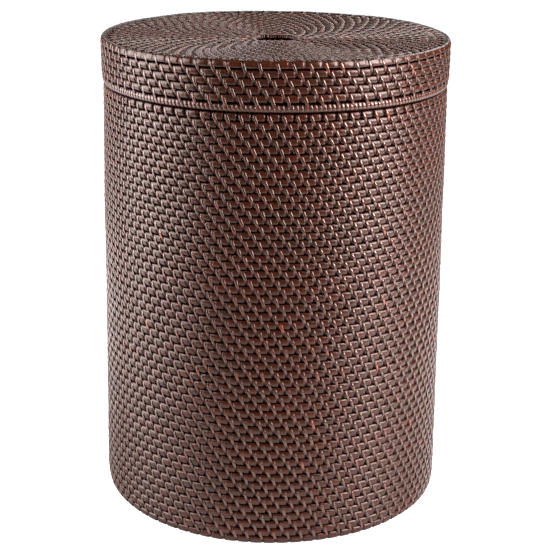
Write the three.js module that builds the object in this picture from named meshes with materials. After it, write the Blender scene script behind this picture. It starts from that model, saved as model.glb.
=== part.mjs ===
// A round hamper of coiled rattan with a lift-off lid.
// Millimetres, +Z up, origin on the floor at the centre of the base.
// A rattan rod is wound course by course and each solid is one spliced length of that rod.

import * as THREE from "three";

// Wall of the body
const TOP_RADIUS = 220.6;
const BASE_RADIUS = 227.5;
const WALL_THICKNESS = 11;
const LOWER_COURSES = 33;
const LOWER_PITCH = 10.66;
const UPPER_COURSES = 21;
const UPPER_PITCH = 9.36;
const COURSES_PER_LENGTH = 4;
const LOWER_LENGTHS = 8;
const UPPER_LENGTHS = 5;
const BODY_HEIGHT = LOWER_COURSES * LOWER_PITCH + UPPER_COURSES * UPPER_PITCH;

// Base
const BASE_THICKNESS = 10;
const BASE_RECESS = 1.5;
const FOOT_FLAT = 5;

// Neck ring inside the mouth
const NECK_THICKNESS = 9;
const NECK_BELOW_RIM = 28;
const NECK_ABOVE_RIM = 20;

// Lid
const LID_RADIUS = 222.5;
const LID_COURSES = 5;
const LID_PITCH = 9.42;
const LID_RIM_HEIGHT = 12.2;
const LID_THICKNESS = 10;
const LID_DISH = 5;
const HOLE_RADIUS = 25.5;
const HOLE_RING_WIDTH = 9.5;

// Fits and detail
const GAP = 0.35;
const SEGMENTS = 48;
const CHAMFER = 2.4;
const FOOT_CHAMFER = 3.2;

const LID_BOTTOM = BODY_HEIGHT + GAP;
const LID_TOP = LID_BOTTOM + LID_RIM_HEIGHT + LID_COURSES * LID_PITCH;
const LID_INNER_RADIUS = LID_RADIUS - WALL_THICKNESS;

function rattan(color, roughness = 0.42) {
  return new THREE.MeshStandardMaterial({ color, roughness, metalness: 0 });
}

const FINISHES = {
  rod: rattan(0x4a3028),
  darkRod: rattan(0x3d2822),
  redRod: rattan(0x54322a),
  wrapped: rattan(0x5c332a, 0.38),
  lidTop: rattan(0x5f4d46, 0.45),
};

// A ring turned about the vertical axis. The profile is a list of [radius, height] points
// that runs anticlockwise, outside first, and closes on itself.
function ring(name, profile, material) {
  const points = [...profile, profile[0]].map(([r, z]) => new THREE.Vector2(r, z));
  const geometry = new THREE.LatheGeometry(points, SEGMENTS);
  geometry.rotateX(Math.PI / 2);
  const mesh = new THREE.Mesh(geometry, material.clone());
  mesh.name = name;
  return mesh;
}

function wallRadius(z) {
  return BASE_RADIUS - ((BASE_RADIUS - TOP_RADIUS) * z) / BODY_HEIGHT;
}

// A stretch of the wall, with its outer edges eased where the rods curve away.
function wallRing(name, low, high, material, chamfer = CHAMFER) {
  const lowRadius = wallRadius(low);
  const highRadius = wallRadius(high);
  const profile = [
    [lowRadius - WALL_THICKNESS, low],
    [lowRadius - chamfer, low],
    [lowRadius, low + chamfer],
    [highRadius, high - chamfer],
    [highRadius - chamfer, high],
    [highRadius - WALL_THICKNESS, high],
  ];
  return ring(name, profile, material);
}

function footCoil() {
  const high = LOWER_PITCH - GAP;
  const outer = wallRadius(0) - 1;
  const inner = outer - WALL_THICKNESS;
  const middle = (outer + inner) / 2;
  const profile = [
    [inner, FOOT_CHAMFER],
    [middle - FOOT_FLAT / 2, 0],
    [middle + FOOT_FLAT / 2, 0],
    [outer, FOOT_CHAMFER],
    [outer, high - FOOT_CHAMFER],
    [outer - FOOT_CHAMFER, high],
    [inner, high],
  ];
  return ring("foot_coil", profile, FINISHES.darkRod);
}

function wallCoils() {
  const meshes = [];
  for (let i = 0; i < LOWER_LENGTHS; i += 1) {
    const low = LOWER_PITCH * (1 + i * COURSES_PER_LENGTH);
    const high = low + LOWER_PITCH * COURSES_PER_LENGTH - GAP;
    const material = i % 2 ? FINISHES.rod : FINISHES.darkRod;
    meshes.push(wallRing(`lower_wall_coil_${i + 1}`, low, high, material));
  }
  const join = LOWER_PITCH * LOWER_COURSES;
  for (let i = 0; i < UPPER_LENGTHS; i += 1) {
    const low = join + UPPER_PITCH * i * COURSES_PER_LENGTH;
    const high = low + UPPER_PITCH * COURSES_PER_LENGTH - GAP;
    const material = i % 2 ? FINISHES.redRod : FINISHES.rod;
    meshes.push(wallRing(`upper_wall_coil_${i + 1}`, low, high, material));
  }
  meshes.push(wallRing("rim_coil", BODY_HEIGHT - UPPER_PITCH, BODY_HEIGHT, FINISHES.redRod));
  return meshes;
}

// The neck stands inside the mouth and the lid drops over it.
function neckCoil() {
  const outer = TOP_RADIUS - WALL_THICKNESS - GAP;
  const inner = outer - NECK_THICKNESS;
  const low = BODY_HEIGHT - NECK_BELOW_RIM;
  const high = BODY_HEIGHT + NECK_ABOVE_RIM;
  const profile = [
    [inner, low],
    [outer, low],
    [outer, high - CHAMFER],
    [outer - CHAMFER, high],
    [inner, high],
  ];
  return ring("neck_coil", profile, FINISHES.rod);
}

function baseCoils() {
  const low = BASE_RECESS;
  const high = BASE_RECESS + BASE_THICKNESS;
  const outer = wallRadius(0) - 1 - WALL_THICKNESS - GAP;
  const names = ["base_centre_coil", "base_middle_coil", "base_outer_coil"];
  return names.map((name, i) => {
    const start = i === 0 ? 0 : (outer * i) / names.length + GAP;
    const end = (outer * (i + 1)) / names.length;
    const profile = [
      [start, low],
      [end, low],
      [end, high],
      [start, high],
    ];
    return ring(name, profile, FINISHES.darkRod);
  });
}

// The lid's top sinks a little towards the middle.
function lidTopHeight(r) {
  return LID_TOP - LID_DISH * (1 - (r / LID_INNER_RADIUS) ** 2);
}

function lidTopRing(name, start, end, material) {
  const middle = (start + end) / 2;
  const profile = [
    [start, lidTopHeight(start) - LID_THICKNESS],
    [middle, lidTopHeight(middle) - LID_THICKNESS],
    [end, lidTopHeight(end) - LID_THICKNESS],
    [end, lidTopHeight(end)],
    [middle, lidTopHeight(middle)],
    [start, lidTopHeight(start)],
  ];
  return ring(name, profile, material);
}

function lidTopCoils() {
  const start = HOLE_RADIUS + HOLE_RING_WIDTH;
  const end = LID_INNER_RADIUS - GAP;
  const names = ["lid_inner_coil", "lid_middle_coil", "lid_outer_coil"];
  const width = (end - start) / names.length;
  const rings = names.map((name, i) => {
    const low = start + width * i + GAP;
    return lidTopRing(name, low, start + width * (i + 1), FINISHES.lidTop);
  });
  return [lidTopRing("lid_hole_coil", HOLE_RADIUS, start, FINISHES.wrapped), ...rings];
}

function lidEdgeCoil() {
  const low = LID_TOP - LID_PITCH;
  const profile = [
    [LID_INNER_RADIUS, low],
    [LID_RADIUS, low],
    [LID_RADIUS, LID_TOP - CHAMFER * 1.5],
    [LID_RADIUS - CHAMFER * 0.5, LID_TOP - CHAMFER * 0.5],
    [LID_RADIUS - CHAMFER * 1.5, LID_TOP],
    [LID_INNER_RADIUS, LID_TOP],
  ];
  return ring("lid_edge_coil", profile, FINISHES.redRod);
}

function lidSideRing(name, low, high, material) {
  const profile = [
    [LID_INNER_RADIUS, low],
    [LID_RADIUS - CHAMFER, low],
    [LID_RADIUS, low + CHAMFER],
    [LID_RADIUS, high - CHAMFER],
    [LID_RADIUS - CHAMFER, high],
    [LID_INNER_RADIUS, high],
  ];
  return ring(name, profile, material);
}

function lidSideCoils() {
  const skirtLow = LID_BOTTOM + LID_RIM_HEIGHT;
  const skirtHigh = LID_TOP - LID_PITCH - GAP;
  return [
    lidSideRing("lid_skirt_coil", skirtLow, skirtHigh, FINISHES.rod),
    lidSideRing("lid_rim_coil", LID_BOTTOM, skirtLow - GAP, FINISHES.wrapped),
  ];
}

const body = new THREE.Group();
body.add(...baseCoils(), footCoil(), ...wallCoils(), neckCoil());

const lid = new THREE.Group();
lid.add(...lidTopCoils(), lidEdgeCoil(), ...lidSideCoils());

const hamper = new THREE.Group();
hamper.add(body, lid);

export default hamper;
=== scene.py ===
# A round hamper of coiled rattan rods, lashed course to course with split cane, with a lift-off lid.
# Metres, +Z up. The CAD rings give every radius and height; the rods and the cane are built here.

import math
from collections import namedtuple

import bpy
import numpy as np
from mathutils import Matrix, Vector


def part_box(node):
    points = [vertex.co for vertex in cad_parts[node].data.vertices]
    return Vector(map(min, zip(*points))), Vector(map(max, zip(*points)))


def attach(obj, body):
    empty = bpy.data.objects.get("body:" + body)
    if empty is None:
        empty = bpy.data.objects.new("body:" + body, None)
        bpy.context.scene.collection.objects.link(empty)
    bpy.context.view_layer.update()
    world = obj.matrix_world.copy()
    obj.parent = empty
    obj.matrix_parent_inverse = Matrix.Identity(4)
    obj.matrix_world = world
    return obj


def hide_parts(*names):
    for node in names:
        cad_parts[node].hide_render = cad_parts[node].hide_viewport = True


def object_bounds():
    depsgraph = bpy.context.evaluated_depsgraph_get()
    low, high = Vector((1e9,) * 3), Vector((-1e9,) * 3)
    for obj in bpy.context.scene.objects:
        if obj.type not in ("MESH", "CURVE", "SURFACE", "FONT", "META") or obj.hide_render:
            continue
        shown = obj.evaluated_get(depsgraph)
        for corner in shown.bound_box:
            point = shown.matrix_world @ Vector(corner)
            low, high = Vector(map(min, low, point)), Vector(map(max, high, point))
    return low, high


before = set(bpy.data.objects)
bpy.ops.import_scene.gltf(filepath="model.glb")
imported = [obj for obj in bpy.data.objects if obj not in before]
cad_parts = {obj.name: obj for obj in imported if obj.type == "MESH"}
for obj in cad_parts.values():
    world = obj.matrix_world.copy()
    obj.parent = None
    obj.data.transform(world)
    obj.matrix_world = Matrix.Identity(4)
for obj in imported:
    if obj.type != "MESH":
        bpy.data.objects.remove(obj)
CAD_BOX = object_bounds()

MM = 0.001
TINY = 1e-12

# Weave: where the stitches are, how far each course shifts them round, and how much each one slants
WALL_STITCHES = 85
STITCH_SPACING = 16.5 * MM
LID_STITCH_SPACING = 16.0 * MM
SKIRT_STITCH_SPACING = 18.5 * MM
BASE_START_STITCHES = 6
LID_START_STITCHES = 12
SHIFT_PER_COURSE = 7.25 * MM
LID_SHIFT_PER_COURSE = 8.0 * MM
SLANT_PER_COURSE = 3.3 * MM
STITCH_JITTER = 0.45 * MM
JITTER_RADIUS = 20 * MM
CENTRE_RADIUS = 5 * MM
BODY_HAND = -1
LID_HAND = 1

# A stitch is put in where the gap is over this many spacings, picked at random between the two. After
# that each stitch keeps this share of its place, and takes the rest from halfway between its neighbours
INSERT_ABOVE = (1.2, 1.65)
KEEP_PLACE = 0.7

# Cane strip
CANE_WIDTH = 3.5 * MM
LID_TOP_CANE_WIDTH = 4.3 * MM
CANE_THICKNESS = 0.95 * MM
WRAP_WIDTHS = {"lid_hole_coil": 3.3 * MM, "lid_rim_coil": 5.4 * MM}
WRAP_STEPS = 12

# Rod: how much of its depth and top width is left where a stitch crosses it, and how far that reaches
ROD_DEPTH = 4.75 * MM
RIM_DEPTH = 4.2 * MM
HOLE_RING = 4.75 * MM
PROUD = 0.89
SUNK = 0.62
LID_SUNK = 0.42
EDGE_SUNK = 0.86
PINCH = 0.2
PROUD_REACH = 2.6 * MM
SUNK_REACH = 2.4 * MM
LID_SUNK_REACH = 3.4 * MM

# The share of that reach which is level, the widest reach in shares of the gap between stitches, and
# how far the crest attribute falls where the rod is pressed in, to deepen the painted shade there
LEVEL_SHARE = 0.4
WIDEST_REACH = 0.4
GROOVE_FALL = 1.9

# The lid's top has rods painted greyer, as a painted sheen from the light it mirrors, and narrower on top
LID_TOP_PAINTED_SHEEN = -2.0
LID_TOP_WIDTH = 0.8

# Half width of a course in shares of its pitch, and of the foot's and the lid rim's half height
FILL = 0.49
FOOT_FILL = 0.94
RIM_FILL = 0.96
FOOT_RAISE = 0.5 * MM

# The lid edge's course faces outward and a little up: its turn away from straight up, in radians
EDGE_TURN = 1.25

# How far the cane stands out of the CAD ring, and a rod's middle below the ring's face
STANDS_OUT = 0.5 * MM
CROWN = PROUD * ROD_DEPTH + CANE_THICKNESS - STANDS_OUT

# Courses in each CAD ring of a kind, and how many rings the wall's thicker and thinner rods take
COURSES = {"lower_wall_coil": 4, "upper_wall_coil": 4, "lid_top": 6, "base": 7, "neck": 5, "skirt": 4}
LOWER_NODES = 8
UPPER_NODES = 5

# Mesh steps: points round a rod, its fewest steps and its length per step where nothing crosses it,
# steps to one side of a crossing in shares of its reach, along a pillow, and of the cane's path
SECTION_POINTS = 10
FEWEST_STEPS = 24
ROD_STEP = 2.0 * MM
DIP_STEPS = np.array([0, 0.5, 0.75, 1])
PILLOW_STEPS = 6
OUTSIDE_QUARTER = 4
INSIDE_QUARTER = 2

# Random spreads: tones of a pillow, a course, a stitch, a strip and a wrap's turn, in the units that
# the materials read; sizes; and how far the noise patterns are moved from strand to strand
PILLOW_TONE = 0.6
COURSE_TONE = 0.55
STITCH_TONE = 0.7
STRIP_TONE = 0.35
WRAP_TONE = 0.8
PILLOW_SWELL = (0.96, 1.03)
STITCH_WIDTH = (0.88, 1.12)
STITCH_SLACK = (-0.1 * MM, 0.14 * MM)
STITCH_LEAN = 0.28 * MM
WRAP_WIDTH = (0.9, 1.0)
WRAP_UNEVEN = 0.12 * MM
NOISE_OFFSET = 10

rng = np.random.default_rng(7)

Course = namedtuple(
    "Course",
    "node radius height outward half_width half_depth sunk stain top_width",
    defaults=[SUNK, 0.0, 1.0],
)


# ---------------------------------------------------------------- meshes


def closed_grid_faces(rows, columns, offset=0):
    """Quads of a tube of rows rings with columns points each, closed both ways."""
    i = np.arange(rows)[:, None]
    j = np.arange(columns)[None, :]
    i_next = (i + 1) % rows
    j_next = (j + 1) % columns
    quads = np.stack(
        [i * columns + j, i_next * columns + j, i_next * columns + j_next, i * columns + j_next], -1
    )
    return quads.reshape(-1, 4) + offset


class Strands:
    """Gathers closed strands and turns them into one mesh object."""

    def __init__(self):
        self.points, self.faces, self.grain, self.tone, self.crest = [], [], [], [], []
        self.count = 0

    def add(self, points, grain, tone, crest):
        """points is (rows, columns, 3); grain is the same, and tone and crest are (rows, columns)."""
        rows, columns = points.shape[:2]
        self.faces.append(closed_grid_faces(rows, columns, self.count))
        self.points.append(points.reshape(-1, 3))
        self.grain.append(grain.reshape(-1, 3))
        self.tone.append(tone.reshape(-1))
        self.crest.append(crest.reshape(-1))
        self.count += rows * columns

    def make(self, name, material, body, material_slot, *nodes):
        points = warp(np.concatenate(self.points))
        faces = np.concatenate(self.faces)
        mesh = bpy.data.meshes.new(name)
        mesh.vertices.add(len(points))
        mesh.vertices.foreach_set("co", points.astype(np.float32).ravel())
        mesh.loops.add(faces.size)
        mesh.loops.foreach_set("vertex_index", faces.astype(np.int32).ravel())
        mesh.polygons.add(len(faces))
        mesh.polygons.foreach_set("loop_start", np.arange(0, faces.size, 4, dtype=np.int32))
        mesh.update(calc_edges=True)
        mesh.polygons.foreach_set("use_smooth", np.ones(len(faces), bool))
        grain = mesh.attributes.new("grain", "FLOAT_VECTOR", "POINT")
        grain.data.foreach_set("vector", np.concatenate(self.grain).astype(np.float32).ravel())
        for label, values in (("tone", self.tone), ("crest", self.crest)):
            attribute = mesh.attributes.new(label, "FLOAT", "POINT")
            attribute.data.foreach_set("value", np.concatenate(values).astype(np.float32))
        mesh.materials.append(material)
        piece = bpy.data.objects.new(name, mesh)
        bpy.context.scene.collection.objects.link(piece)
        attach(piece, body)
        if nodes:
            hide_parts(*nodes)
        return piece


def polar(radius, angle, height):
    """Points, or directions, from their parts along the radius and up."""
    return np.stack([radius * np.cos(angle), radius * np.sin(angle), height + 0 * angle], -1)


def unit(vectors):
    return vectors / np.maximum(np.linalg.norm(vectors, axis=-1, keepdims=True), TINY)


# ---------------------------------------------------------------- handmade unevenness

# Each wave: how many times round the basket, how many times up it, and its relative size
WAVES = [
    (2, 1, 0.5), (3, 2, 0.4), (5, 3, 0.3), (9, 2, 0.22), (14, 5, 0.16), (23, 7, 0.12), (31, 11, 0.08)
]
WAVE_PHASES = rng.uniform(0, 2 * math.pi, (len(WAVES), 2))
WAVE_RISE = 0.8 * MM
WAVE_SWELL = 0.5 * MM
CALM_NEAR_RIM = 25 * MM
CALM_NEAR_AXIS = 60 * MM


def warp(points):
    """Moves the coil up, down, in and out by about a millimetre at most, rods and cane alike."""
    angle = np.arctan2(points[:, 1], points[:, 0])
    radius = np.hypot(points[:, 0], points[:, 1])
    height = points[:, 2]
    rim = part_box("rim_coil")[1].z
    rise = np.zeros(len(points))
    swell = np.zeros(len(points))
    for (turns, ups, size), (phase, second) in zip(WAVES, WAVE_PHASES):
        climb = 2 * math.pi * ups * height / rim
        rise += size * np.sin(turns * angle + climb + phase)
        swell += size * np.sin(turns * angle - climb + second)
    calm = np.clip(np.minimum(height, np.abs(rim - height)) / CALM_NEAR_RIM, 0, 1)
    edge = np.clip(radius / CALM_NEAR_AXIS, 0, 1)
    points = points.copy()
    points[:, 2] += rise * calm * WAVE_RISE
    stretch = 1 + swell * edge * WAVE_SWELL / np.maximum(radius, MM)
    points[:, 0] *= stretch
    points[:, 1] *= stretch
    return points


# ---------------------------------------------------------------- rods


# A rod's section is a rounded square: the power is 2 for a circle and grows with its squareness. The
# rod is narrowed only further out than OUTER_HALF, so that its inner half stays nearly a pitch wide
SECTION_POWER = 3.6
OUTER_HALF = 0.01


def rounded_section(points, power=SECTION_POWER):
    """Unit outline of a rod: across from -1 to 1 and out from -1 to 1."""
    turn = np.linspace(0, 2 * math.pi, points, endpoint=False)
    across = np.sign(np.cos(turn)) * np.abs(np.cos(turn)) ** (2 / power)
    out = np.sign(np.sin(turn)) * np.abs(np.sin(turn)) ** (2 / power)
    return across, out


def dip(angle, crossings, radius, reach):
    """1 under the middle of a stitch, falling to 0 a reach away from it."""
    if len(crossings) == 0:
        return np.zeros(len(angle))
    turn = 2 * math.pi
    marks = np.sort(np.mod(crossings, turn))
    marks = np.concatenate([marks[-1:] - turn, marks, marks[:1] + turn])
    place = np.clip(np.searchsorted(marks, angle), 1, len(marks) - 1)
    away = np.minimum(np.abs(angle - marks[place - 1]), np.abs(marks[place] - angle)) * radius
    fall = np.clip((away / reach - LEVEL_SHARE) / (1 - LEVEL_SHARE), 0, 1)
    return np.cos(fall * math.pi / 2) ** 2


def sunk_reach(course):
    """How far from its middle a sunk stitch presses the rod in."""
    return SUNK_REACH if course.sunk == SUNK else LID_SUNK_REACH


def rod_steps(course, sunk):
    """Angles along a rod, closer together where a stitch sinks it, and each one's pillow."""
    if len(sunk) == 0:
        count = max(FEWEST_STEPS, round(2 * math.pi * course.radius / ROD_STEP))
        return np.arange(count) / count * 2 * math.pi, np.zeros(count, int)
    marks = np.sort(np.mod(sunk, 2 * math.pi))
    gaps = np.diff(np.append(marks, marks[0] + 2 * math.pi))[:, None]
    near = DIP_STEPS * np.minimum(sunk_reach(course) / course.radius, gaps * WIDEST_REACH)
    shares = np.arange(1, PILLOW_STEPS) / PILLOW_STEPS
    across = near[:, -1:] + (gaps - 2 * near[:, -1:]) * shares
    steps = np.concatenate([near, across, gaps - near[:, :0:-1]], axis=1)
    pillow = np.repeat(np.arange(len(marks)), steps.shape[1])
    return (marks[:, None] + steps).ravel(), pillow


def add_rod(strands, course, proud, sunk, points=SECTION_POINTS):
    """One course: a rod pressed in where the sunk halves of the stitches cross it, in pillows between."""
    nr, nz = course.outward
    angle, pillow = rod_steps(course, sunk)
    proud_dip = dip(angle, proud, course.radius, PROUD_REACH)
    sunk_dip = dip(angle, sunk, course.radius, sunk_reach(course))
    swell = np.minimum(1 - (1 - PROUD) * proud_dip, 1 - (1 - course.sunk) * sunk_dip)
    uneven = rng.uniform(*PILLOW_SWELL, max(len(sunk), 1))[pillow]
    pinch = course.top_width * (1 - PINCH + PINCH * swell)
    depth = course.half_depth * swell * (1 - (1 - uneven) * (1 - sunk_dip))
    across, out = rounded_section(points)
    a = course.half_width * across * np.where(out > OUTER_HALF, pinch[:, None], 1)
    b = depth[:, None] * out
    r = course.radius - nz * a + nr * b
    z = course.height + nr * a + nz * b
    around = np.broadcast_to(angle[:, None], r.shape)
    grid = polar(r, around, z)
    length = np.broadcast_to((angle * course.radius)[:, None], r.shape)
    turn = np.linspace(0, 2 * math.pi, points, endpoint=False)
    girth = np.broadcast_to(turn * course.half_depth, r.shape)
    mark = np.full(r.shape, rng.uniform(0, NOISE_OFFSET))
    tone = rng.normal(0, PILLOW_TONE, max(len(sunk), 1))[pillow][:, None]
    # On the lid's top the course's tone is moved to the greyer end, as a painted sheen
    tone = tone + rng.normal(0, COURSE_TONE) + course.stain + 0 * r
    # Low crest, on the rod's flanks and inner side and where stitches press it in, is painted as shade
    crest = out[None, :] - GROOVE_FALL * (1 - swell)[:, None]
    strands.add(grid, np.stack([length, girth, mark], -1), tone, crest)


# ---------------------------------------------------------------- cane


# The cane's path, in shares of the pitch along the advance and of the cane's height outward: a quarter
# turn round the new rod ends at TURN_AT, TUCK leads down into the old rod, and INSIDE_SIZE and
# INSIDE_POWER shape the way back
TURN_AT = 0.35
CANE_TOP = 1.02
TUCK = [(0.1, CANE_TOP), (-0.12, 0.97), (-0.3, 0.84), (-0.48, 0.72), (-0.66, 0.66), (-0.78, 0.1)]
INSIDE_SIZE = (0.9, 0.85)
INSIDE_POWER = 0.6

# Slack lifts the cane only where its path is further out than this
SLACK_ABOVE = 0.5


def racetrack(proud_side):
    """The cane's loop: proud over one rod, then tucked into the other, and back across the inside.

    Gives places along the advance (1 is the far side of the new rod, -1 of the old) and out, in
    working order, and which of them are inside.
    """
    quarter = np.linspace(0, math.pi / 2, OUTSIDE_QUARTER)
    outside = [(TURN_AT + (1 - TURN_AT) * math.cos(q), CANE_TOP * math.sin(q)) for q in quarter]
    outside += TUCK
    half = np.linspace(0, math.pi, 2 * INSIDE_QUARTER + 1)[1:-1]
    wide, deep = INSIDE_SIZE
    inside = [(-wide * math.cos(q), -deep * math.sin(q) ** INSIDE_POWER) for q in half]
    path = np.array(outside + inside)
    is_inside = np.arange(len(path)) >= len(outside)
    if proud_side < 0:
        mirrored = path[::-1] * (-1, 1)
        path = np.roll(mirrored, len(outside), axis=0)
    return path, is_inside


# The strip's outline: across from -1 to 1 of its half width, and up in shares of its thickness.
CANE_SECTION = np.array(
    [(-1, -0.5), (-0.95, 0.1), (-0.6, 0.42), (0, 0.5), (0.6, 0.42), (0.95, 0.1), (1, -0.5)]
)


def strip(spine, normal, half_width):
    """The cane's outline at each place along its closed spine, with its face towards normal."""
    tangent = unit(np.roll(spine, -1, 0) - np.roll(spine, 1, 0))
    side = unit(np.cross(tangent, normal))
    normal = np.cross(side, tangent)
    return (
        spine[:, None]
        + side[:, None] * (CANE_SECTION[:, 0] * half_width[:, None])[..., None]
        + normal[:, None] * (CANE_SECTION[:, 1] * CANE_THICKNESS)[None, :, None]
    )


def add_lashing(strands, new, old, stitches, hand, proud_side, width):
    """One continuous strip that binds a new course to the old one, once round for each stitch."""
    path, is_inside = racetrack(proud_side)
    centre_new = np.array([new.radius, new.height])
    centre_old = np.array([old.radius, old.height])
    pitch = np.linalg.norm(centre_new - centre_old)
    u = (centre_new - centre_old) / pitch
    v = np.array([u[1], -u[0]])
    outward = np.array(new.outward) + np.array(old.outward)
    if v @ outward < 0:
        v = -v
    middle = (centre_new + centre_old) / 2
    count, steps = len(stitches), len(path)
    order = stitches if hand < 0 else stitches[::-1]
    slack = rng.uniform(*STITCH_SLACK, count)[:, None]
    lean = rng.normal(0, STITCH_LEAN, count)[:, None]
    lift = (new.half_depth + old.half_depth) / 2 * PROUD + CANE_THICKNESS / 2
    height = lift + slack * (path[:, 1] > SLACK_ABOVE)
    pu = np.broadcast_to(path[:, 0] * pitch, (count, steps))
    pv = path[:, 1] * height
    r = middle[0] + pu * u[0] + pv * v[0]
    z = middle[1] + pu * u[1] + pv * v[1]
    swing = hand * (SLANT_PER_COURSE + lean) * path[:, 0] / middle[0]
    start = order[:, None] + swing
    next_order = np.roll(order, -1)
    next_order[-1] += -hand * 2 * math.pi
    last_out = np.flatnonzero(~is_inside)[-1]
    leave = start[:, last_out]
    arrive = next_order + np.roll(swing[:, 0], -1)
    share = (path[:, 0] + 1) / 2
    inner = leave[:, None] + (arrive - leave)[:, None] * share
    angle = np.where(is_inside, inner, start)
    spine = polar(r, angle, z).reshape(-1, 3)
    flat = np.roll(path, -1, 0) - np.roll(path, 1, 0)
    flat = unit(np.stack([flat[:, 1] * lift, -flat[:, 0] * pitch], -1))
    nr = flat[:, 0] * u[0] + flat[:, 1] * v[0]
    nz = flat[:, 0] * u[1] + flat[:, 1] * v[1]
    normal = polar(nr, angle, nz).reshape(-1, 3)
    widths = np.repeat(width * rng.uniform(*STITCH_WIDTH, count), steps) / 2
    grid = strip(spine, normal, widths)
    along = np.cumsum(np.linalg.norm(spine - np.roll(spine, 1, 0), axis=1))
    across = CANE_SECTION[:, 0] * width / 2
    grain = np.stack(np.broadcast_arrays(along[:, None], across, rng.uniform(0, NOISE_OFFSET)), -1)
    tone = np.repeat(rng.normal(0, STITCH_TONE, count), steps) + rng.normal(0, STRIP_TONE)
    # Crest is the cane's height out: painted highlight where proud, painted shade where tucked in
    crest = np.tile(path[:, 1], count)
    shape = grid.shape[:2]
    tone, crest = (np.broadcast_to(values[:, None], shape) for values in (tone, crest))
    strands.add(grid, grain, tone, crest)


def add_wrap(strands, course, width, steps=WRAP_STEPS):
    """Cane wound closely round a single rod, each turn beside the last."""
    turns = round(2 * math.pi * course.radius / width)
    count = turns * steps
    angle = np.arange(count) / count * 2 * math.pi
    roll = np.arange(count) / steps * 2 * math.pi
    uneven = np.repeat(rng.uniform(-WRAP_UNEVEN, WRAP_UNEVEN, turns), steps)
    reach_a = course.half_width - CANE_THICKNESS / 2 + uneven
    reach_b = course.half_depth - CANE_THICKNESS / 2 + uneven
    nr, nz = course.outward
    a = np.cos(roll)
    b = np.sin(roll)
    r = course.radius - nz * a * reach_a + nr * b * reach_b
    z = course.height + nr * a * reach_a + nz * b * reach_b
    spine = polar(r, angle, z)
    out_r = -nz * a + nr * b
    out_z = nr * a + nz * b
    normal = polar(out_r, angle, out_z)
    half = np.repeat(rng.uniform(*WRAP_WIDTH, turns), steps) * width / 2
    grid = strip(spine, normal, half)
    along = np.arange(count) / steps * 2 * math.pi * course.half_depth
    across = CANE_SECTION[:, 0] * width / 2
    grain = np.stack(np.broadcast_arrays(along[:, None], across, rng.uniform(0, NOISE_OFFSET)), -1)
    tone = np.repeat(rng.normal(0, WRAP_TONE, turns), steps)
    shape = grid.shape[:2]
    # Crest is high on each turn's outer face: painted highlight there, painted shade on its inner side
    crest = np.broadcast_to(b[:, None], shape)
    strands.add(grid, grain, np.broadcast_to(tone[:, None], shape), crest)


# ---------------------------------------------------------------- where the stitches go


def even_stitches(radius, spacing, count=None):
    """Angles of evenly spaced stitches, from a random start."""
    count = count or round(2 * math.pi * radius / spacing)
    return np.arange(count) / count * 2 * math.pi + rng.uniform(0, 1)


def carry_on(stitches, radius, spacing, shift):
    """The next course's stitches, each a step on from the last, with new ones where they spread."""
    angles = stitches + shift / radius
    gaps = np.diff(np.append(angles, angles[0] + 2 * math.pi)) * radius
    wide = np.flatnonzero(gaps > spacing * rng.uniform(*INSERT_ABOVE, len(gaps)))
    extra = angles[wide] + gaps[wide] / radius / 2
    angles = np.sort(np.concatenate([angles, extra]))
    before = np.roll(angles, 1)
    before[0] -= 2 * math.pi
    after = np.roll(angles, -1)
    after[-1] += 2 * math.pi
    return angles * KEEP_PLACE + (before + after) / 2 * (1 - KEEP_PLACE)


def jitter(stitches, radius):
    return stitches + rng.normal(0, STITCH_JITTER, len(stitches)) / radius


def weave(courses, first, spacing, shift, hand):
    """Stitch angles for each course, from its own binding to the one before."""
    found = [first]
    for course in courses[1:]:
        found.append(carry_on(found[-1], course.radius, spacing, shift * hand))
    return [jitter(s, max(c.radius, JITTER_RADIUS)) for s, c in zip(found, courses)]


def wall_weave(courses):
    """On the wall the number of stitches stays the same from course to course."""
    base = even_stitches(courses[0].radius, STITCH_SPACING, WALL_STITCHES)
    found = []
    for i, course in enumerate(courses):
        found.append(jitter(base + BODY_HAND * SHIFT_PER_COURSE * i / course.radius, course.radius))
    return found


# ---------------------------------------------------------------- courses from the CAD rings


def stacked(node, count, outer_low, outer_high):
    """Courses one on the other in a CAD ring, with the outer radius at its foot and at its top."""
    low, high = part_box(node)
    pitch = (high.z - low.z) / count
    made = []
    for i in range(count):
        z = low.z + pitch * (i + 0.5)
        outer = outer_low + (outer_high - outer_low) * (i + 0.5) / count
        made.append(Course(node, outer - CROWN, z, (1, 0), pitch * FILL, ROD_DEPTH))
    return made


def flat_rings(node, count, inner, facing, top_at, **looks):
    """Courses side by side in a flat CAD disc or ring, facing up (1) or down (-1)."""
    pitch = (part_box(node)[1].x - inner) / count
    made = []
    for i in range(count):
        r = inner + pitch * (i + 0.5)
        z = top_at(r) - CROWN
        made.append(Course(node, r, z, (0, facing), pitch * FILL, ROD_DEPTH, **looks))
    return made


def wall_outer(z):
    """The wall's outer radius at a height."""
    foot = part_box("lower_wall_coil_1")
    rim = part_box("rim_coil")
    share = (z - foot[0].z) / (rim[1].z - foot[0].z)
    return foot[1].x + (rim[1].x - foot[1].x) * share


def wall_courses():
    low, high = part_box("foot_coil")
    half = (high.z - low.z) / 2
    foot = Course("foot_coil", high.x - CROWN, half + FOOT_RAISE, (1, 0), half * FOOT_FILL, ROD_DEPTH)
    courses = [foot]
    names = [(f"lower_wall_coil_{i + 1}", COURSES["lower_wall_coil"]) for i in range(LOWER_NODES)]
    names += [(f"upper_wall_coil_{i + 1}", COURSES["upper_wall_coil"]) for i in range(UPPER_NODES)]
    names.append(("rim_coil", 1))
    for node, count in names:
        low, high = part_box(node)
        courses += stacked(node, count, wall_outer(low.z), wall_outer(high.z))
    return courses


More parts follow.
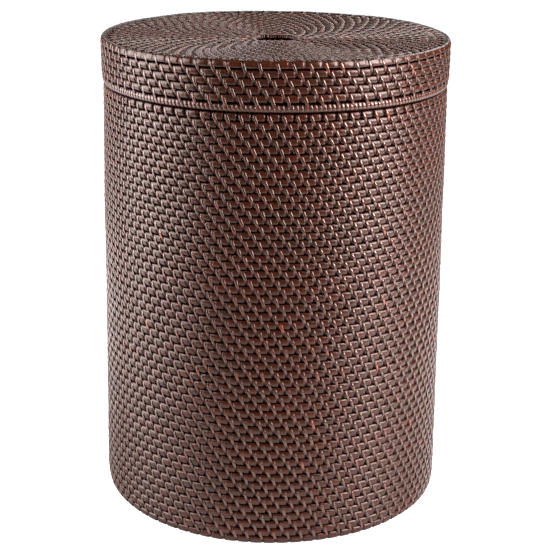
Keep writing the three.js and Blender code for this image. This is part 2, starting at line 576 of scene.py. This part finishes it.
def base_courses():
    """The base faces down, so the outer side of its rods is the underside."""
    low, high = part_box("base_outer_coil")
    face = (low.z + high.z) / 2 + CROWN
    courses = []
    inner = 0
    for node in ("base_centre_coil", "base_middle_coil", "base_outer_coil"):
        courses += flat_rings(node, COURSES["base"], inner, -1, lambda r: face)
        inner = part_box(node)[1].x
    return courses


def neck_courses():
    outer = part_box("neck_coil")[1].x
    return stacked("neck_coil", COURSES["neck"], outer, outer)


def lid_courses():
    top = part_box("lid_outer_coil")[1]
    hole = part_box("lid_hole_coil")[1]
    dish = top.z - hole.z

    def surface(r):
        """Height of the lid's top face, which dishes towards the hole."""
        share = (r - hole.x) / (top.x - hole.x)
        return top.z - dish * (1 - max(share, 0) ** 2)

    hole_z = surface(hole.x) - HOLE_RING
    courses = [Course("lid_hole_coil", hole.x - HOLE_RING, hole_z, (0, 1), HOLE_RING, HOLE_RING)]
    inner = hole.x
    for node in ("lid_inner_coil", "lid_middle_coil", "lid_outer_coil"):
        looks = {"sunk": LID_SUNK, "stain": LID_TOP_PAINTED_SHEEN, "top_width": LID_TOP_WIDTH}
        courses += flat_rings(node, COURSES["lid_top"], inner, 1, surface, **looks)
        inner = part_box(node)[1].x
    low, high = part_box("lid_edge_coil")
    half = (high.z - low.z) * FILL
    corner = (math.sin(EDGE_TURN), math.cos(EDGE_TURN))
    edge = Course("lid_edge_coil", high.x - CROWN, high.z - CROWN, corner, half, ROD_DEPTH, EDGE_SUNK)
    courses.append(edge)
    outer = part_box("lid_skirt_coil")[1].x
    courses += stacked("lid_skirt_coil", COURSES["skirt"], outer, outer)[::-1]
    low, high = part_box("lid_rim_coil")
    middle, half = (low.z + high.z) / 2, (high.z - low.z) / 2
    courses.append(Course("lid_rim_coil", high.x - CROWN, middle, (1, 0), half * RIM_FILL, RIM_DEPTH))
    return courses


# ---------------------------------------------------------------- materials


def rgb(red, green, blue):
    """A linear colour from its three 8-bit display values."""
    def linear(value):
        value /= 255
        return value / 12.92 if value <= 0.04045 else ((value + 0.055) / 1.055) ** 2.4
    return (linear(red), linear(green), linear(blue), 1)


class Nodes:
    """Short names for making and joining shader nodes."""

    def __init__(self, name):
        self.material = bpy.data.materials.new(name)
        self.material.use_nodes = True
        self.tree = self.material.node_tree
        self.shader = self.tree.nodes["Principled BSDF"]

    def add(self, kind, **values):
        node = self.tree.nodes.new(kind)
        for key, value in values.items():
            if hasattr(node, key):
                setattr(node, key, value)
            else:
                node.inputs[key.replace("_", " ").title()].default_value = value
        return node

    def link(self, source, target):
        self.tree.links.new(source, target)

    def attribute(self, name, output="Fac"):
        return self.add("ShaderNodeAttribute", attribute_name=name).outputs[output]

    def scaled(self, vector, scale):
        node = self.add("ShaderNodeVectorMath", operation="MULTIPLY")
        self.link(vector, node.inputs[0])
        node.inputs[1].default_value = scale
        return node.outputs[0]

    def noise(self, vector, scale, detail=3.0, roughness=0.55):
        node = self.add("ShaderNodeTexNoise", scale=scale, detail=detail, roughness=roughness)
        self.link(vector, node.inputs["Vector"])
        return node.outputs["Fac"]

    def spread(self, value, low, high, to_low=0.0, to_high=1.0):
        node = self.add("ShaderNodeMapRange")
        self.link(value, node.inputs["Value"])
        numbers = {"From Min": low, "From Max": high, "To Min": to_low, "To Max": to_high}
        for key, number in numbers.items():
            node.inputs[key].default_value = number
        return node.outputs["Result"]

    def ramp(self, value, stops):
        node = self.add("ShaderNodeValToRGB")
        ramp = node.color_ramp
        for i, (position, colour) in enumerate(stops):
            stop = ramp.elements[i] if i < 2 else ramp.elements.new(position)
            stop.position = position
            stop.color = colour
        self.link(value, node.inputs["Fac"])
        return node.outputs["Color"]

    def mix(self, factor, a, b, blend="MIX"):
        """Mixes two colours. The node's input 0 is the factor, and its inputs 6 and 7 are the colours."""
        node = self.add("ShaderNodeMix", data_type="RGBA", blend_type=blend)
        for source, place in ((factor, 0), (a, 6), (b, 7)):
            target = node.inputs[place]
            if isinstance(source, bpy.types.NodeSocket):
                self.link(source, target)
            else:
                target.default_value = source
        return node.outputs[2]

    def bump(self, height, strength, distance, normal=None):
        node = self.add("ShaderNodeBump")
        node.inputs["Strength"].default_value = strength
        node.inputs["Distance"].default_value = distance
        self.link(height, node.inputs["Height"])
        if normal is not None:
            self.link(normal, node.inputs["Normal"])
        return node.outputs["Normal"]


def finish_varnish(n, colour, roughness, normal, specular, groove_shading):
    """Joins up the shader. The shine fades between the two crest values, to painted shade in the grooves.
    """
    n.link(colour, n.shader.inputs["Base Color"])
    n.link(roughness, n.shader.inputs["Roughness"])
    n.link(normal, n.shader.inputs["Normal"])
    n.shader.inputs["Specular IOR Level"].default_value = specular
    deep, top = groove_shading
    # Painted shade on the reflection: the specular tint falls to dark red-brown where the crest is low
    shade = n.ramp(n.attribute("crest"), [(deep, (0.2, 0.08, 0.06, 1)), (top, (1, 0.8, 0.75, 1))])
    n.link(shade, n.shader.inputs["Specular Tint"])


def rod_material():
    """Stained rattan core: long fibres, mottled colour, painted shade in the grooves, satin varnish."""
    n = Nodes("rattan_rod")
    grain = n.attribute("grain", "Vector")
    fibres = n.noise(n.scaled(grain, (110, 1100, 1)), 1.0, 4.0, 0.65)
    blotches = n.noise(n.scaled(grain, (190, 520, 1)), 1.0, 3.0)
    slow = n.noise(n.scaled(grain, (9, 30, 1)), 1.0, 1.0)
    tone = n.spread(n.attribute("tone"), -2.2, 2.2)
    hue = n.ramp(slow, [(0.32, rgb(54, 27, 16)), (0.68, rgb(61, 24, 14))])
    olive = n.ramp(tone, [(0.15, rgb(43, 29, 19)), (0.5, rgb(55, 25, 15)), (0.9, rgb(68, 27, 15))])
    colour = n.mix(0.5, hue, olive)
    streaks = n.ramp(fibres, [(0.3, (0.52, 0.49, 0.46, 1)), (0.7, (1.1, 1.05, 1.0, 1))])
    colour = n.mix(0.8, colour, streaks, "MULTIPLY")
    patches = n.ramp(blotches, [(0.3, (0.75, 0.74, 0.72, 1)), (0.72, (1.2, 1.18, 1.16, 1))])
    colour = n.mix(0.7, colour, patches, "MULTIPLY")
    # Painted shade: the colour is darkened where the crest is low, between rods and where stitches press
    # in
    groove_shading = n.ramp(n.attribute("crest"), [(0.25, (0.12, 0.03, 0.02, 1)), (0.68, (1, 1, 1, 1))])
    colour = n.mix(1.0, colour, groove_shading, "MULTIPLY")
    roughness = n.spread(blotches, 0.25, 0.75, 0.2, 0.3)
    normal = n.bump(fibres, 0.5, 0.3 * MM)
    normal = n.bump(blotches, 0.4, 0.6 * MM, normal)
    finish_varnish(n, colour, roughness, normal, 0.4, (0.25, 0.68))
    return n.material


def cane_material():
    """Split cane: fine fibres along the strip, with a painted highlight, redder and paler, where it
    stands proud.
    """
    n = Nodes("cane_lashing")
    grain = n.attribute("grain", "Vector")
    fibres = n.noise(n.scaled(grain, (90, 2600, 1)), 1.0, 4.0, 0.65)
    blotches = n.noise(n.scaled(grain, (120, 300, 1)), 1.0, 2.0)
    tone = n.spread(n.attribute("tone"), -2.4, 2.4)
    browns = [(0.1, rgb(48, 30, 21)), (0.5, rgb(56, 31, 22)), (0.85, rgb(66, 32, 22))]
    colour = n.ramp(tone, browns + [(0.99, rgb(95, 40, 20))])
    streaks = n.ramp(fibres, [(0.3, (0.65, 0.62, 0.6, 1)), (0.7, (1.25, 1.22, 1.2, 1))])
    colour = n.mix(0.8, colour, streaks, "MULTIPLY")
    # Painted shade where the cane tucks in and runs inside, painted highlight where it stands proud
    groove_shading = n.ramp(
        n.attribute("crest"),
        [(0.62, (0.1, 0.03, 0.02, 1)), (0.74, (0.7, 0.5, 0.45, 1)), (0.92, (1.35, 1.2, 1.12, 1))],
    )
    colour = n.mix(1.0, colour, groove_shading, "MULTIPLY")
    roughness = n.spread(blotches, 0.25, 0.75, 0.18, 0.28)
    normal = n.bump(fibres, 0.3, 0.15 * MM)
    finish_varnish(n, colour, roughness, normal, 1.0, (0.74, 0.97))
    return n.material


# ---------------------------------------------------------------- the object


def crossings(stitches, course, side, hand):
    """Where stitches cross the middle of a rod that lies on one side (1 new, -1 old) of their gap."""
    return stitches + side * hand * SLANT_PER_COURSE / 2 / max(course.radius, CENTRE_RADIUS)


def own_and_next(courses, stitches, i, hand):
    """Where a course's rod is crossed by its own stitches, and by those of the course after it."""
    own = crossings(stitches[i], courses[i], 1, hand) if i > 0 else np.array([])
    if i + 1 < len(courses):
        following = crossings(stitches[i + 1], courses[i], -1, hand)
    else:
        following = own + hand * (SHIFT_PER_COURSE - SLANT_PER_COURSE) / courses[i].radius
    return own, following


def build_coil(courses, stitches, hand, body, rod, cane, proud_side):
    """Rods and lashing for a run of courses, one pair of pieces for each CAD ring."""
    for node in dict.fromkeys(c.node for c in courses):
        rods, lashing = Strands(), Strands()
        for i, course in enumerate(courses):
            if course.node != node:
                continue
            own, following = own_and_next(courses, stitches, i, hand)
            proud, sunk = (own, following) if proud_side > 0 else (following, own)
            if node in WRAP_WIDTHS:
                core_width = course.half_width - CANE_THICKNESS
                core_depth = course.half_depth - CANE_THICKNESS
                add_rod(rods, course._replace(half_width=core_width, half_depth=core_depth), [], [])
                add_wrap(lashing, course, WRAP_WIDTHS[node])
            else:
                add_rod(rods, course, proud, sunk)
            if i > 0:
                width = LID_TOP_CANE_WIDTH if course.sunk == LID_SUNK else CANE_WIDTH
                add_lashing(lashing, course, courses[i - 1], stitches[i], hand, proud_side, width)
        rods.make(node.replace("coil", "rods"), rod, body, "rattan_rod", node)
        if lashing.count:
            lashing.make(node.replace("coil", "lashing"), cane, body, "cane_lashing")


def build_object():
    rod = rod_material()
    cane = cane_material()
    base = base_courses()
    start = even_stitches(base[0].radius, STITCH_SPACING, BASE_START_STITCHES)
    base_stitches = weave(base, start, STITCH_SPACING, SHIFT_PER_COURSE, BODY_HAND)
    build_coil(base, base_stitches, BODY_HAND, "basket", rod, cane, 1)
    for courses in (wall_courses(), neck_courses()):
        build_coil(courses, wall_weave(courses), BODY_HAND, "basket", rod, cane, 1)
    lid = lid_courses()
    edge = [course.node for course in lid].index("lid_edge_coil")
    lid_stitches = []
    top = (lid[:edge], LID_STITCH_SPACING, LID_START_STITCHES)
    skirt = (lid[edge:], SKIRT_STITCH_SPACING, None)
    for run, spacing, count in (top, skirt):
        start = even_stitches(run[0].radius, spacing, count)
        lid_stitches += weave(run, start, spacing, LID_SHIFT_PER_COURSE, LID_HAND)
    build_coil(lid, lid_stitches, LID_HAND, "lid", rod, cane, -1)


# ---------------------------------------------------------------- camera, light and floor

# The floor is lit to white for the camera. Its own colour darkens towards the front, over this range of
# Y and between these two tones, and is seen only in what the rods mirror
FLOOR_HALF = 6.0
FLOOR_FADE = (-1.0, -0.5)
FLOOR_TONES = (0.12, 0.7)
FLOOR_ROUGHNESS = 0.9
FLOOR_LIGHT_HEIGHT = 2 * MM
AMBIENT = 0.002
CAMERA_SENSOR = 36
CAMERA_LENS = 89.4
CAMERA_BACK = 1.7542
CAMERA_HEIGHT = 0.8644
CAMERA_PITCH = 18.34
CAMERA_PAN = -0.086
CAMERA_ROLL = 0.72


def make_camera():
    data = bpy.data.cameras.new("camera")
    data.lens = CAMERA_LENS
    data.sensor_width = CAMERA_SENSOR
    camera = bpy.data.objects.new("camera", data)
    bpy.context.scene.collection.objects.link(camera)
    turn = (
        Matrix.Rotation(math.radians(CAMERA_PAN), 4, "Z")
        @ Matrix.Rotation(math.radians(90 - CAMERA_PITCH), 4, "X")
        @ Matrix.Rotation(math.radians(CAMERA_ROLL), 4, "Z")
    )
    camera.matrix_world = Matrix.Translation((0, -CAMERA_BACK, CAMERA_HEIGHT)) @ turn
    bpy.context.scene.camera = camera


def area_light(name, azimuth, elevation, distance, size, power):
    """A soft box that looks at the object's middle. Azimuth 0 is behind the camera, 90 on the right."""
    data = bpy.data.lights.new(name, "AREA")
    data.shape = "RECTANGLE"
    data.size, data.size_y = size
    data.energy = power
    light = bpy.data.objects.new(name, data)
    bpy.context.scene.collection.objects.link(light)
    a, e = math.radians(azimuth), math.radians(elevation)
    aim = (CAD_BOX[0] + CAD_BOX[1]) / 2
    place = aim + distance * Vector((math.sin(a) * math.cos(e), -math.cos(a) * math.cos(e), math.sin(e)))
    light.location = place
    light.rotation_euler = (aim - place).to_track_quat("-Z", "Y").to_euler()


def floor_light(name, azimuth, distance, size, power):
    """A glowing patch of floor, which the rods' flat faces mirror."""
    area_light(name, azimuth, 0, distance, size, power)
    light = bpy.data.objects[name]
    light.location.z = FLOOR_LIGHT_HEIGHT
    light.rotation_euler = (math.pi, 0, math.radians(azimuth))


def make_world():
    world = bpy.data.worlds.new("studio")
    world.use_nodes = True
    bpy.context.scene.world = world
    tree = world.node_tree
    background = tree.nodes["Background"]
    background.inputs["Color"].default_value = (1, 1, 1, 1)
    path = tree.nodes.new("ShaderNodeLightPath")
    mix = tree.nodes.new("ShaderNodeMix")
    mix.data_type = "FLOAT"
    mix.inputs[2].default_value = AMBIENT
    mix.inputs[3].default_value = 1.0
    tree.links.new(path.outputs["Is Camera Ray"], mix.inputs[0])
    tree.links.new(mix.outputs[0], background.inputs["Strength"])


def make_floor():
    corners = [(x * FLOOR_HALF, y * FLOOR_HALF, 0) for x, y in ((-1, -1), (1, -1), (1, 1), (-1, 1))]
    mesh = bpy.data.meshes.new("floor")
    mesh.from_pydata(corners, [], [(0, 1, 2, 3)])
    n = Nodes("floor")
    place = n.add("ShaderNodeSeparateXYZ")
    n.link(n.add("ShaderNodeNewGeometry").outputs["Position"], place.inputs[0])
    n.link(n.spread(place.outputs["Y"], *FLOOR_FADE, *FLOOR_TONES), n.shader.inputs["Base Color"])
    n.shader.inputs["Roughness"].default_value = FLOOR_ROUGHNESS
    n.shader.inputs["Emission Color"].default_value = (1, 1, 1, 1)
    path = n.add("ShaderNodeLightPath")
    n.link(path.outputs["Is Camera Ray"], n.shader.inputs["Emission Strength"])
    mesh.materials.append(n.material)
    floor = bpy.data.objects.new("floor", mesh)
    bpy.context.scene.collection.objects.link(floor)


def make_studio():
    make_camera()
    make_world()
    make_floor()
    area_light("left_box", -84, 22, 2.0, (2.0, 1.7), 114)
    area_light("right_box", 64, 28, 2.0, (1.1, 1.6), 128)
    area_light("right_back_box", 134, 40, 2.2, (1.3, 1.0), 24)
    floor_light("left_floor", -98, 1.2, (1.8, 1.3), 13)
    floor_light("right_floor", 78, 1.2, (1.1, 1.3), 7)
    area_light("backdrop", 180, 30, 2.6, (3.0, 0.8), 13)
    bpy.context.scene.view_settings.view_transform = "Standard"


make_studio()
build_object()
